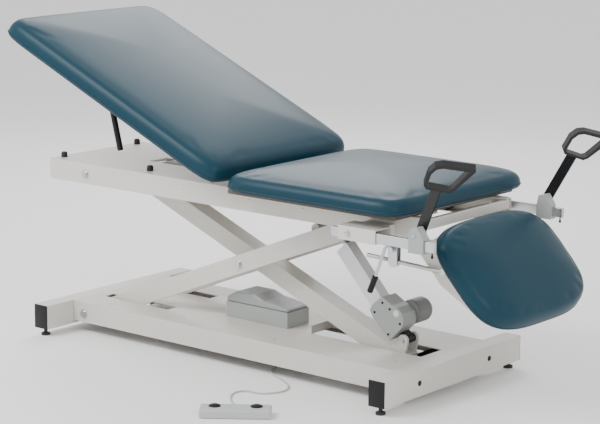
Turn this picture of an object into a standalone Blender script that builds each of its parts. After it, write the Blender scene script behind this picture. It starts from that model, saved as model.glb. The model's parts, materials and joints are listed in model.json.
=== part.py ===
"""Powered medical exam table: scissor lift, lifting backrest, drop leg rest and two stirrups.

Metres, +Z up. The foot end is +X and the near side is -Y. The origin lies on the floor under
the middle of the whole table's box, and every piece is placed from the middle of the base.
"""

import math

import bmesh
import bpy
from mathutils import Matrix, Vector

# Where the middle of the base stands, seen from the origin.
BASE_SHIFT_X = -0.1047
BASE_SHIFT_Y = 0.1336

# Clearances
GAP = 0.0003
RUNNING_GAP = 0.0004

# Base
BASE_HALF_LENGTH = 0.7114
BEAM_WIDTH = 0.0573
BEAM_HALF_SPAN = 0.3486
BEAM_LOW = 0.0245
BEAM_TOP = 0.1028
FOOT_RADIUS = 0.015
FOOT_SPREAD = 0.329
SHEET = 0.003
DECK_HALF_WIDTH = 0.2307
DECK_DEPTH = 0.0671
LIP = 0.025

# Scissor
LIFT_ANGLE = 22.062
ARM_HALF = 0.613
ARM_HEIGHT = 0.057
ARM_OVERHANG = 0.012
ARM_A_INNER = 0.086
ARM_A_OUTER = 0.118
ARM_B_HALF_WIDTH = 0.0325
ARM_WALL = 0.003
PIVOT_X = -0.605
BASE_PIVOT_Z = 0.065
PIVOT_RADIUS = 0.008
ROLLER_RADIUS = 0.025
ROLLER_WIDTH = 0.018

# Upper frame
FRAME_HEAD_X = -0.7667
FRAME_FOOT_X = 0.750
FRAME_HALF_WIDTH = 0.2172
FRAME_HEIGHT = 0.0661
FRAME_PIVOT_RISE = 0.0304
PLATE_END_X = -0.020

# Seat, backrest and leg rest
PAD_HALF_WIDTH = 0.343
SEAT_START_X = 0.073
SEAT_END_X = 0.735
SEAT_THICKNESS = 0.057
SEAT_CROWN = 0.016
BACK_CROWN = 0.018
LEG_CROWN = 0.014
BOARD_THICKNESS = 0.013
BACK_HINGE_X = 0.063
BACK_HINGE_RISE = 0.0418
BACK_ANGLE = 23.6
BACK_PAD_START = 0.016
BACK_PAD_LENGTH = 0.976
BACK_PAD_THICKNESS = 0.065
BACK_PAD_DROP = 0.027
LEG_HINGE_X = 0.700
LEG_HINGE_DROP = 0.0212
LEG_ANGLE = 47.46
LEG_HALF_WIDTH = 0.2725
LEG_PAD_START = 0.055
LEG_PAD_LENGTH = 0.358
LEG_PLATE_Y = 0.168

# Actuator, measured on its own line from its lower pin
ACTUATOR_LENGTH = 0.424
CLEVIS_ALONG = 0.5943
CLEVIS_RISE = 0.0654

# Stirrups
SOCKET_OUTER_Y = 0.340
SOCKET_INNER_Y = 0.262
SOCKET_START_X = 0.528
SOCKET_END_X = 0.661
SOCKET_HEIGHT = 0.041
STIRRUP_BAR = (0.012, 0.029)
STIRRUP_PIVOT_X = 0.785

# Floor cord of the foot switch
CORD_RADIUS = 0.0025
CORD_STEPS = 6
SWITCH_X = 0.379
SWITCH_Y = -0.612
SWITCH_YAW = 37.3
SWITCH_SIZE = (0.205, 0.070, 0.026)
SWITCH_BASE = 0.004
PEDAL_SPREAD = 0.060
PEDAL_RADIUS = 0.018

# Worked out from the sizes above
BEAM_INNER_X = BASE_HALF_LENGTH - BEAM_WIDTH
THETA = math.radians(LIFT_ANGLE)
RISE = 2 * ARM_HALF * math.sin(THETA)
REACH = 2 * ARM_HALF * math.cos(THETA)
FRAME_PIVOT_Z = BASE_PIVOT_Z + RISE
FRAME_LOW = FRAME_PIVOT_Z - FRAME_PIVOT_RISE
FRAME_TOP = FRAME_LOW + FRAME_HEIGHT
CENTRE_X = PIVOT_X + REACH / 2
CENTRE_Z = BASE_PIVOT_Z + RISE / 2
ROLLER_X = PIVOT_X + REACH
BACK_HINGE_Z = FRAME_TOP + BACK_HINGE_RISE
LEG_HINGE_Z = FRAME_TOP - LEG_HINGE_DROP
SOCKET_LOW = FRAME_LOW - 0.001

FINISHES = {
    "powder_coat": ((0.80, 0.79, 0.76), 0.35, 0.0),
    "deck_coat": ((0.62, 0.58, 0.54), 0.35, 0.0),
    "black_plastic": ((0.02, 0.02, 0.02), 0.45, 0.0),
    "rubber": ((0.03, 0.03, 0.03), 0.8, 0.0),
    "zinc": ((0.70, 0.72, 0.76), 0.3, 1.0),
    "dark_steel": ((0.05, 0.045, 0.05), 0.4, 0.6),
    "vinyl": ((0.035, 0.12, 0.18), 0.35, 0.0),
    "plywood": ((0.42, 0.32, 0.22), 0.6, 0.0),
    "motor_grey": ((0.22, 0.23, 0.22), 0.5, 0.0),
    "gear_grey": ((0.50, 0.53, 0.51), 0.5, 0.0),
    "box_grey": ((0.36, 0.38, 0.37), 0.5, 0.0),
    "column_white": ((0.78, 0.78, 0.80), 0.3, 0.2),
    "switch_grey": ((0.60, 0.62, 0.59), 0.5, 0.0),
}

TABLE = None
PARTS = None
CUTTERS = None


def clear_scene():
    for obj in list(bpy.data.objects):
        bpy.data.objects.remove(obj, do_unlink=True)


def material(finish):
    """The Principled material of a finish, made once."""
    known = bpy.data.materials.get(finish)
    if known:
        return known
    colour, roughness, metallic = FINISHES[finish]
    made = bpy.data.materials.new(finish)
    made.use_nodes = True
    shader = made.node_tree.nodes["Principled BSDF"]
    shader.inputs["Base Color"].default_value = (*colour, 1.0)
    shader.inputs["Roughness"].default_value = roughness
    shader.inputs["Metallic"].default_value = metallic
    return made


def axis(name, parent, x, z, y=0.0):
    """An empty on a joint's axis, which carries that joint's pieces."""
    empty = bpy.data.objects.new(name, None)
    PARTS.objects.link(empty)
    empty.matrix_world = Matrix.Translation((x, y, z))
    hang(empty, parent)
    bpy.context.view_layer.update()
    return empty


def hang(obj, parent):
    obj.parent = parent
    obj.matrix_parent_inverse = parent.matrix_world.inverted()


def tilted(x, z, degrees, y=0.0):
    """A frame at (x, y, z) turned about Y: +X dips by the angle, +Z leans towards the foot."""
    return Matrix.Translation((x, y, z)) @ Matrix.Rotation(math.radians(degrees), 4, "Y")


def place(name, mesh, frame, parent, finish):
    """Links a mesh as one named piece, placed by its frame and carried by its parent."""
    obj = bpy.data.objects.new(name, mesh)
    PARTS.objects.link(obj)
    obj.matrix_world = frame
    mesh.materials.clear()
    mesh.materials.append(material(finish))
    hang(obj, parent)
    return obj


def smooth(obj, degrees=35):
    obj.data.shade_smooth()
    obj.data.set_sharp_from_angle(angle=math.radians(degrees))
    return obj


def round_edges(obj, width, segments=1):
    bevel = obj.modifiers.new("Rounded edges", "BEVEL")
    bevel.width = width
    bevel.segments = segments
    bevel.limit_method = "ANGLE"
    bevel.angle_limit = math.radians(50)
    return obj


def block(name, low, high, parent, finish, frame=None, bevel=0.0):
    """A box between two corners of a frame."""
    low, high = Vector(low), Vector(high)
    shape = bmesh.new()
    bmesh.ops.create_cube(shape, size=1.0)
    bmesh.ops.scale(shape, vec=high - low, verts=shape.verts)
    mesh = bpy.data.meshes.new(name)
    shape.to_mesh(mesh)
    shape.free()
    frame = frame or Matrix.Identity(4)
    obj = place(name, mesh, frame @ Matrix.Translation((low + high) / 2), parent, finish)
    if bevel:
        round_edges(obj, bevel)
    return obj


def rod(name, start, end, radius, parent, finish, frame=None, sides=24, bevel=0.0):
    """A round bar between two points of a frame."""
    start, end = Vector(start), Vector(end)
    shape = bmesh.new()
    bmesh.ops.create_cone(
        shape, cap_ends=True, segments=sides, radius1=radius, radius2=radius, depth=(end - start).length
    )
    mesh = bpy.data.meshes.new(name)
    shape.to_mesh(mesh)
    shape.free()
    turn = (end - start).to_track_quat("Z", "Y").to_matrix().to_4x4()
    frame = frame or Matrix.Identity(4)
    obj = place(name, mesh, frame @ Matrix.Translation((start + end) / 2) @ turn, parent, finish)
    smooth(obj)
    if bevel:
        round_edges(obj, bevel)
    return obj


def welded(curve_object):
    """The curve's own solid as a mesh with its caps joined on; the curve is removed."""
    bpy.context.view_layer.update()
    graph = bpy.context.evaluated_depsgraph_get()
    mesh = bpy.data.meshes.new_from_object(curve_object.evaluated_get(graph))
    shape = bmesh.new()
    shape.from_mesh(mesh)
    bmesh.ops.remove_doubles(shape, verts=shape.verts, dist=0.00001)
    shape.to_mesh(mesh)
    shape.free()
    bpy.data.objects.remove(curve_object, do_unlink=True)
    return mesh


def outline_mesh(name, outlines, thickness):
    """A flat outline, with any holes, filled and extruded to both sides."""
    curve = bpy.data.curves.new(name, "CURVE")
    curve.dimensions = "2D"
    curve.fill_mode = "BOTH"
    curve.extrude = thickness / 2
    for points in outlines:
        spline = curve.splines.new("POLY")
        spline.points.add(len(points) - 1)
        for point, (x, y) in zip(spline.points, points):
            point.co = (x, y, 0.0, 1.0)
        spline.use_cyclic_u = True
    flat = bpy.data.objects.new(name, curve)
    PARTS.objects.link(flat)
    return welded(flat)


def plate(name, outlines, y_low, y_high, parent, finish, frame=None):
    """A plate whose outlines lie in the frame's XZ plane."""
    frame = frame or Matrix.Identity(4)
    middle = Matrix.Translation((0.0, (y_low + y_high) / 2, 0.0))
    upright = Matrix.Rotation(math.radians(90), 4, "X")
    mesh = outline_mesh(name, outlines, y_high - y_low)
    return place(name, mesh, frame @ middle @ upright, parent, finish)


def slab(name, outlines, z_low, z_high, parent, finish, frame=None):
    """A plate whose outlines lie in the frame's XY plane."""
    frame = frame or Matrix.Identity(4)
    middle = Matrix.Translation((0.0, 0.0, (z_low + z_high) / 2))
    mesh = outline_mesh(name, outlines, z_high - z_low)
    return place(name, mesh, frame @ middle, parent, finish)


def wire(name, points, radius, parent, finish, frame=None, resolution=2):
    """A round wire along points of a frame, with closed ends."""
    curve = bpy.data.curves.new(name, "CURVE")
    curve.dimensions = "3D"
    curve.bevel_depth = radius
    curve.bevel_resolution = resolution
    curve.use_fill_caps = True
    spline = curve.splines.new("POLY")
    spline.points.add(len(points) - 1)
    for point, place_at in zip(spline.points, points):
        point.co = (*place_at, 1.0)
    bent = bpy.data.objects.new(name, curve)
    PARTS.objects.link(bent)
    return smooth(place(name, welded(bent), frame or Matrix.Identity(4), parent, finish))


def turned(name, profile, parent, finish, frame=None, steps=24):
    """A turned piece about the frame's Z: (radius, height) pairs from top to bottom."""
    mesh = bpy.data.meshes.new(name)
    mesh.from_pydata([(radius, 0.0, height) for radius, height in profile],
                     [(i, i + 1) for i in range(len(profile) - 1)], [])
    obj = place(name, mesh, frame or Matrix.Identity(4), parent, finish)
    screw = obj.modifiers.new("Turned", "SCREW")
    screw.axis = "Z"
    screw.steps = steps
    screw.render_steps = steps
    screw.use_merge_vertices = True
    screw.merge_threshold = 0.00001
    screw.use_smooth_shade = False
    return obj


def across(x, z, frame=None):
    """A frame at (x, z) whose Z runs along -Y, for pieces turned about a cross axis."""
    frame = frame or Matrix.Identity(4)
    return frame @ Matrix.Translation((x, 0.0, z)) @ Matrix.Rotation(math.radians(90), 4, "X")


def helper(tool):
    """Keeps a cutting or joining shape out of the model."""
    tool.hide_render = True
    tool.display_type = "WIRE"
    PARTS.objects.unlink(tool)
    CUTTERS.objects.link(tool)
    return tool


def combine(target, tool, operation):
    change = target.modifiers.new(operation.title(), "BOOLEAN")
    change.operation = operation
    change.object = tool
    change.solver = "EXACT"
    return target


def cut(target, tool):
    return combine(target, helper(tool), "DIFFERENCE")


def join(target, tool):
    return combine(target, helper(tool), "UNION")


def drill(target, x, z, radius, reach, parent, frame=None, y=0.0, sides=24):
    """A round hole across the piece, along Y."""
    tool = rod(target.name + "_hole", (x, y - reach, z), (x, y + reach, z), radius, parent,
               "zinc", frame, sides)
    return cut(target, tool)


def arc(x, y, radius, start, end, steps):
    """Points on an arc, both ends included, angles in degrees."""
    turns = [math.radians(start + (end - start) * i / steps) for i in range(steps + 1)]
    return [(x + radius * math.cos(turn), y + radius * math.sin(turn)) for turn in turns]


def rounded_box(x_low, x_high, y_low, y_high, radius, steps=4):
    return (arc(x_high - radius, y_high - radius, radius, 0, 90, steps)
            + arc(x_low + radius, y_high - radius, radius, 90, 180, steps)
            + arc(x_low + radius, y_low + radius, radius, 180, 270, steps)
            + arc(x_high - radius, y_low + radius, radius, 270, 360, steps))


def crowned(x_low, x_high, z_low, z_high, radius, crown):
    """A pad's section: rounded ends and a top that swells towards its middle."""
    ends = rounded_box(x_low, x_high, z_low, z_high, radius, 6)
    reach = x_high - x_low - 2 * radius
    swell = []
    for i in range(1, 12):
        t = i / 12
        swell.append((x_high - radius - reach * t, z_high + crown * (1 - (2 * t - 1) ** 2)))
    return ends[:7] + swell + ends[7:]


def sides():
    """The two sides of the table: name and sign of Y."""
    return (("near", -1), ("far", 1))


def span(sign, inner, outer):
    """The low and high Y of a piece between two distances from the middle."""
    return (-outer, -inner) if sign < 0 else (inner, outer)


def build_base():
    floor = TABLE
    for end, direction in (("head", -1), ("foot", 1)):
        inner, outer = sorted((direction * BEAM_INNER_X, direction * BASE_HALF_LENGTH))
        beam = block(f"base_beam_{end}", (inner, -BEAM_HALF_SPAN, BEAM_LOW),
                     (outer, BEAM_HALF_SPAN, BEAM_TOP), floor, "powder_coat")
        cut(beam, block("beam_bore", (inner + SHEET, -1, BEAM_LOW + SHEET),
                        (outer - SHEET, 1, BEAM_TOP - SHEET), floor, "powder_coat"))
        for side, sign in sides():
            stand = Matrix.Translation(((inner + outer) / 2, sign * FOOT_SPREAD, 0.0))
            top = BEAM_LOW - GAP
            profile = [(0, top), (0.006, top), (0.006, 0.010), (FOOT_RADIUS, 0.007),
                       (FOOT_RADIUS, 0.0), (0, 0)]
            smooth(turned(f"foot_{end}_{side}", profile, floor, "rubber", stand, 16))
    build_deck(floor)
    profile = bolt_profile(DECK_HALF_WIDTH, PIVOT_RADIUS)
    smooth(turned("base_pivot_bolt", profile, floor, "zinc", across(PIVOT_X, BASE_PIVOT_Z), 20))


def bolt_profile(half_grip, radius):
    """A through bolt with a washer and a head at each end, about its own axis."""
    washer = half_grip + GAP + 0.002
    head = washer + 0.006
    half = [(0, head), (0.010, head), (0.010, washer), (0.014, washer), (0.014, half_grip + GAP),
            (radius, half_grip + GAP)]
    return half + [(size, -height) for size, height in reversed(half)]


def build_deck(floor):
    half = BEAM_INNER_X - GAP
    low = BEAM_TOP - DECK_DEPTH
    deck = block("base_deck", (-half, -DECK_HALF_WIDTH, low), (half, DECK_HALF_WIDTH, BEAM_TOP),
                 floor, "deck_coat")
    cut(deck, block("deck_hollow", (-1, -DECK_HALF_WIDTH + SHEET, low + SHEET),
                    (1, DECK_HALF_WIDTH - SHEET, BEAM_TOP - SHEET), floor, "deck_coat"))
    mouth = DECK_HALF_WIDTH - LIP
    cut(deck, block("deck_mouth", (-1, -mouth, 0.0), (1, mouth, low + 2 * SHEET), floor, "deck_coat"))
    slot = ARM_A_INNER - 0.006, ARM_A_OUTER + 0.006
    for side, sign in sides():
        y_low, y_high = span(sign, *slot)
        cut(deck, block("arm_slot_" + side, (-0.615, y_low, 0.09), (-0.330, y_high, 0.12),
                        floor, "deck_coat"))
    cut(deck, block("beam_slot", (0.205, -0.055, 0.09), (0.625, 0.055, 0.12), floor, "deck_coat"))
    drill(deck, PIVOT_X, BASE_PIVOT_Z, PIVOT_RADIUS + RUNNING_GAP, 0.3, floor, sides=20)
    cut(deck, rod("grommet_hole", (0.09, -0.03, 0.08), (0.09, -0.03, 0.12), 0.0080, floor,
                  "deck_coat", sides=16))
    guard = [(0.2015, BEAM_TOP - 0.001), (0.360, BEAM_TOP - 0.001), (0.345, 0.130), (0.300, 0.152),
             (0.2015, 0.152)]
    join(deck, plate("slot_guard", [guard], 0.0555, 0.0585, floor, "deck_coat"))
    join(deck, block("slot_tab", (0.2015, -0.050, BEAM_TOP - 0.001), (0.2043, 0.0570, 0.126),
                     floor, "deck_coat"))


def build_control_box():
    floor = TABLE
    low = BEAM_TOP + GAP
    case = [(-0.134, low), (0.117, low), (0.117, low + 0.050), (-0.134, low + 0.050)]
    y_low, y_high = -0.062, 0.045
    box = plate("control_box", [case], y_low, y_high, floor, "gear_grey")
    cut(box, block("control_box_hollow", (-0.128, y_low + 0.006, low + 0.006),
                   (0.111, y_high - 0.006, low + 0.2), floor, "gear_grey"))
    cut(box, rod("control_box_exit", (0.09, -0.03, 0.08), (0.09, -0.03, 0.13), 0.0045, floor,
                 "gear_grey", sides=12))
    top = low + 0.050 + GAP
    lid = [(-0.134, top), (0.117, top), (0.117, top + 0.008), (0.060, top + 0.018),
           (0.020, top + 0.022), (-0.020, top + 0.036), (-0.095, top + 0.036), (-0.134, top + 0.014)]
    cover = plate("control_box_cover", [lid], y_low, y_high, floor, "box_grey")
    round_edges(cover, 0.004)
    inlet = block("mains_inlet", (-0.1348 - 0.012, -0.030, low + 0.010), (-0.1343, 0.005, low + 0.034),
                  floor, "black_plastic", bevel=0.002)
    smooth(inlet)
    tube = [(0.0045, low - 0.0004), (0.0075, low - 0.0004), (0.0075, 0.0938), (0.0045, 0.0938),
            (0.0045, low - 0.0004)]
    ring = Matrix.Translation((0.09, -0.03, 0.0))
    smooth(turned("cord_grommet", tube, floor, "black_plastic", ring, 16))


def build_arms(arm_a, arm_b):
    frame_a = tilted(PIVOT_X, BASE_PIVOT_Z, -LIFT_ANGLE)
    frame_b = tilted(CENTRE_X, CENTRE_Z, LIFT_ANGLE)
    half = ARM_HEIGHT / 2
    length = 2 * ARM_HALF
    hole = PIVOT_RADIUS + RUNNING_GAP
    pin = frame_b @ Vector((CLEVIS_ALONG, 0.0, CLEVIS_RISE))
    top_pin = frame_a.inverted() @ (pin + actuator_direction() * ACTUATOR_LENGTH)
    for side, sign in sides():
        y_low, y_high = span(sign, ARM_A_INNER, ARM_A_OUTER)
        arm = block(f"arm_a_{side}", (-ARM_OVERHANG, y_low, -half),
                    (length + ARM_OVERHANG, y_high, half), arm_a, "powder_coat", frame_a)
        middle = (y_low + y_high) / 2
        for along in (0.0, ARM_HALF, length):
            drill(arm, along, 0.0, hole, 0.04, arm_a, frame_a, middle, 20)
        y_low, y_high = span(sign, 0.022, ARM_A_INNER + 0.010)
        join(arm, rod("rod_stub_" + side, (top_pin.x, y_low, top_pin.z),
                      (top_pin.x, y_high, top_pin.z), 0.016, arm_a, "powder_coat", frame_a, 20))
    profile = bolt_profile(ARM_A_OUTER, PIVOT_RADIUS)
    smooth(turned("centre_pivot_bolt", profile, arm_a, "zinc", across(ARM_HALF, 0.0, frame_a), 20))
    beam = block("arm_b_beam", (-ARM_HALF - ARM_OVERHANG, -ARM_B_HALF_WIDTH, -half),
                 (ARM_HALF + ARM_OVERHANG, ARM_B_HALF_WIDTH, half), arm_b, "powder_coat", frame_b)
    for along in (-ARM_HALF, 0.0, ARM_HALF):
        drill(beam, along, 0.0, hole, 0.1, arm_b, frame_b, 0.0, 20)
    cheek = [(CLEVIS_ALONG - 0.030, half - 0.002), (CLEVIS_ALONG + 0.026, half - 0.002)]
    cheek += arc(CLEVIS_ALONG, CLEVIS_RISE, 0.018, 10, 170, 6)
    for side, sign in sides():
        y_low, y_high = span(sign, 0.022, 0.030)
        join(beam, plate("clevis_" + side, [cheek], y_low, y_high, arm_b, "powder_coat", frame_b))
    drill(beam, CLEVIS_ALONG, CLEVIS_RISE, 0.0064, 0.05, arm_b, frame_b, 0.0, 16)
    rod("actuator_pin", (CLEVIS_ALONG, -0.035, CLEVIS_RISE), (CLEVIS_ALONG, 0.035, CLEVIS_RISE),
        0.006, arm_b, "zinc", frame_b, 16)



def actuator_direction():
    """The actuator's line, from its lower pin to its upper pin, at rest."""
    return Vector((-0.67490, 0.0, 0.73790))


def build_wheels(name, axle_x, axle_z, outer, parent):
    """A cross axle with a track roller at each end, in one turned piece."""
    inner = outer - ROLLER_WIDTH
    half = [(0, outer + 0.001), (PIVOT_RADIUS, outer + 0.001), (PIVOT_RADIUS, outer),
            (ROLLER_RADIUS - 0.002, outer), (ROLLER_RADIUS, outer - 0.002),
            (ROLLER_RADIUS, inner + 0.002), (ROLLER_RADIUS - 0.002, inner), (PIVOT_RADIUS, inner)]
    profile = half + [(size, -height) for size, height in reversed(half)]
    smooth(turned(name, profile, parent, "black_plastic", across(axle_x, axle_z), 24))


def build_frame(top):
    low, high = FRAME_LOW, FRAME_TOP
    wide = FRAME_HALF_WIDTH
    tray = block("top_frame", (FRAME_HEAD_X, -wide, low), (FRAME_FOOT_X, wide, high), top, "powder_coat")
    cut(tray, block("frame_hollow", (FRAME_HEAD_X + SHEET, -wide + SHEET, low + SHEET),
                    (1, wide - SHEET, high - SHEET), top, "powder_coat"))
    mouth = wide - LIP - SHEET
    cut(tray, block("frame_mouth", (FRAME_HEAD_X + LIP, -mouth, low - 0.01), (1, mouth, low + 0.01),
                    top, "powder_coat"))
    cut(tray, block("frame_window", (PLATE_END_X, -mouth, high - 0.01), (1, mouth, high + 0.01),
                    top, "powder_coat"))
    cut(tray, block("plate_cut_out", (-0.485, -0.043, high - 0.01), (-0.150, 0.043, high + 0.01),
                    top, "powder_coat"))
    hole = PIVOT_RADIUS + RUNNING_GAP
    drill(tray, PIVOT_X, FRAME_PIVOT_Z, hole, 0.3, top, sides=20)
    for side, sign in sides():
        y_low, y_high = span(sign, 0.196, 0.202)
        ear = [(BACK_HINGE_X - 0.0095, high - 0.001), (BACK_HINGE_X + 0.0095, high - 0.001)]
        ear += arc(BACK_HINGE_X, BACK_HINGE_Z, 0.0095, 0, 180, 8)
        join(tray, plate("hinge_ear_" + side, [ear], y_low, y_high, top, "powder_coat"))
        y_low, y_high = span(sign, 0.201, 0.2105)
        join(tray, rod("hinge_pin_" + side, (BACK_HINGE_X, y_low, BACK_HINGE_Z),
                       (BACK_HINGE_X, y_high, BACK_HINGE_Z), 0.004, top, "zinc", sides=12))
    smooth(turned("top_pivot_bolt", bolt_profile(wide, PIVOT_RADIUS), top, "zinc",
                  across(PIVOT_X, FRAME_PIVOT_Z), 20))
    bar = wide - SHEET - 2 * GAP
    block("foot_cross_bar", (0.733, -bar, LEG_HINGE_Z - 0.012), (0.747, bar, LEG_HINGE_Z + 0.016),
          top, "powder_coat", bevel=0.0015)
    block("seat_board", (SEAT_START_X + 0.002, -0.300, high + GAP),
          (0.700, 0.300, high + GAP + BOARD_THICKNESS), top, "plywood", bevel=0.002)
    pad_low = high + BOARD_THICKNESS + 2 * GAP
    end = SEAT_THICKNESS / 2 - 0.0004
    shape = crowned(SEAT_START_X, SEAT_END_X, pad_low, pad_low + SEAT_THICKNESS, end, SEAT_CROWN)
    smooth(plate("seat_pad", [shape], -PAD_HALF_WIDTH, PAD_HALF_WIDTH, top, "vinyl"))
    rod("leg_rest_shaft", (LEG_HINGE_X, -bar, LEG_HINGE_Z), (LEG_HINGE_X, bar, LEG_HINGE_Z),
        0.006, top, "zinc", sides=16)
    rod("gas_spring_stud", (0.335, 0.150, GAS_STUD_Z), (0.335, bar, GAS_STUD_Z), 0.005, top,
        "zinc", sides=16)
    build_sockets(top)
    build_lock_bracket(top)


def build_sockets(top):
    low = SOCKET_LOW
    high = low + SOCKET_HEIGHT
    for side, sign in sides():
        y_low, y_high = span(sign, SOCKET_INNER_Y, SOCKET_OUTER_Y)
        socket = block(f"stirrup_socket_{side}", (SOCKET_START_X, y_low, low),
                       (SOCKET_END_X, y_high, high), top, "powder_coat")
        cut(socket, block("socket_bore", (0.4, y_low + SHEET, low + SHEET),
                          (0.8, y_high - SHEET, high - SHEET), top, "powder_coat"))
        y_low, y_high = span(sign, FRAME_HALF_WIDTH + GAP, SOCKET_INNER_Y + 0.001)
        join(socket, block("socket_arm", (SOCKET_START_X + 0.02, y_low, low + 0.002),
                           (SOCKET_END_X - 0.02, y_high, high - 0.002), top, "powder_coat"))


def build_lock_bracket(top):
    """A fork under the near rail, open at the bottom, that the lock rod slides through."""
    roof = FRAME_LOW - GAP
    fork = block("lock_bracket", (0.600, -0.212, roof - 0.004), (0.632, -0.1755, roof), top, "zinc")
    for y_low in (-0.1947, -0.1785):
        cheek = [(0.600, roof - 0.002), (0.600, roof - 0.080), (0.606, roof - 0.096),
                 (0.626, roof - 0.096), (0.632, roof - 0.080), (0.632, roof - 0.002)]
        join(fork, plate("fork_cheek", [cheek], y_low, y_low + 0.003, top, "zinc"))


def build_backrest(back):
    frame = tilted(BACK_HINGE_X, BACK_HINGE_Z, BACK_ANGLE)
    low = -BACK_PAD_DROP
    end = BACK_PAD_THICKNESS / 2 - 0.0004
    far_end = -BACK_PAD_START - BACK_PAD_LENGTH
    shape = crowned(far_end, -BACK_PAD_START, low, low + BACK_PAD_THICKNESS, end, BACK_CROWN)
    smooth(plate("backrest_pad", [shape], -PAD_HALF_WIDTH, PAD_HALF_WIDTH, back, "vinyl", frame))
    board_top = low - GAP
    board_low = board_top - 0.0102
    block("backrest_board", (far_end + 0.042, -0.300, board_low), (-0.040, 0.300, board_top), back,
          "plywood", frame, 0.002)
    strap_top = board_low - GAP
    strap_low = strap_top - 0.0032
    steel = block("backrest_hinge_frame", (-0.075, -0.2095, strap_low), (-0.045, 0.2095, strap_top),
                  back, "zinc", frame)
    lug = arc(0.0, 0.0, 0.0095, 0, 180, 8)[::-1] + [(0.0095, -0.004), (-0.008, strap_low)]
    lug += [(-0.070, strap_low), (-0.070, strap_top), (-0.032, strap_top), (-0.016, -0.020)]
    for side, sign in sides():
        y_low, y_high = span(sign, 0.2035, 0.2095)
        join(steel, plate("lug_" + side, [lug], y_low, y_high, back, "zinc", frame))
        drill(steel, 0.0, 0.0, 0.0044, 0.01, back, frame, sign * 0.2065, 12)
    crank = [(-0.070, strap_top), (-0.070, strap_low), (0.030, -0.0660 - 0.008)]
    crank += arc(0.0578, -0.0689, 0.010, -120, 60, 6) + [(0.010, -0.0470), (-0.036, strap_top)]
    join(steel, plate("gas_crank", [crank], 0.146, 0.152, back, "zinc", frame))


def build_release_lever(lever):
    """The hand lever that hangs under the near edge of the backrest."""
    frame = tilted(LEVER_X, LEVER_Z, -15.0)
    hub = rod("release_lever", (0.0, -0.259, 0.0), (0.0, -0.241, 0.0), 0.010, lever, "black_plastic",
              frame, 16)
    join(hub, rod("lever_grip", (0.0, -0.250, -0.002), (0.0, -0.250, -0.138), 0.0095, lever,
                  "black_plastic", frame, 16, 0.003))


def build_gas_spring(cylinder, piston):
    direction = Vector((CRANK_X - 0.335, 0.0, CRANK_Z - GAS_STUD_Z))
    lean = math.degrees(math.atan2(direction.z, -direction.x))
    frame = tilted(0.335, GAS_STUD_Z, lean, 0.1580)
    length = direction.length
    tube = rod("gas_spring_cylinder", (-0.012, 0, 0), (-0.160, 0, 0), 0.011, cylinder, "dark_steel",
               frame, 16)
    join(tube, rod("cylinder_eye", (0, -0.004, 0), (0, 0.004, 0), 0.013, cylinder, "dark_steel",
                   frame, 16))
    cut(tube, rod("cylinder_bore", (-0.022, 0, 0), (-0.2, 0, 0), 0.0056, cylinder, "dark_steel",
                  frame, 12))
    drill(tube, 0.0, 0.0, 0.0055, 0.02, cylinder, frame, 0.0, 16)
    stem = rod("gas_spring_rod", (-0.060, 0, 0), (-length + 0.006, 0, 0), 0.005, piston, "zinc",
               frame, 12)
    join(stem, rod("rod_eye", (-length, -0.004, 0), (-length, 0.004, 0), 0.009, piston, "zinc",
                   frame, 16))


def build_leg_rest(leg):
    frame = tilted(LEG_HINGE_X, LEG_HINGE_Z, LEG_ANGLE)
    seat_face = LEG_HINGE_DROP + BOARD_THICKNESS + 2 * GAP + SEAT_THICKNESS
    low = seat_face - SEAT_THICKNESS
    middle = LEG_PAD_START + LEG_PAD_LENGTH / 2
    outline = []
    for i in range(32):
        turn = 2 * math.pi * i / 32
        c, s = math.cos(turn), math.sin(turn)
        outline.append((middle + LEG_PAD_LENGTH / 2 * math.copysign(abs(s) ** 0.576, s),
                        LEG_HALF_WIDTH * math.copysign(abs(c) ** 0.576, c)))
    pad = slab("leg_rest_pad", [outline[::-1]], low, seat_face + LEG_CROWN, leg, "vinyl", frame)
    round_edges(pad, 0.012, 2)
    board_top = low - GAP
    board_low = board_top - 0.0125
    block("leg_rest_board", (0.075, -0.195, board_low), (0.370, 0.195, board_top), leg, "plywood",
          frame, 0.002)
    roof = board_low - GAP
    shape = arc(0.0, 0.0, 0.014, 180, 0, 8) + [
        (0.014, -0.022), (0.056, -0.025), (0.066, roof), (0.345, roof), (0.345, -0.012),
        (0.178, -0.066), (0.0, -0.066), (-0.014, -0.040)]
    for side, sign in sides():
        y_low, y_high = span(sign, LEG_PLATE_Y - 0.003, LEG_PLATE_Y + 0.003)
        cheek = plate(f"leg_rest_plate_{side}", [shape], y_low, y_high, leg, "powder_coat", frame)
        drill(cheek, 0.0, 0.0, 0.0064, 0.01, leg, frame, sign * LEG_PLATE_Y, 16)
        if side == "near":
            join(cheek, rod("lock_stud", (LOCK_ALONG, -LEG_PLATE_Y, LOCK_DROP),
                            (LOCK_ALONG, -0.1790, LOCK_DROP), 0.009, leg, "black_plastic", frame, 16))


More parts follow.
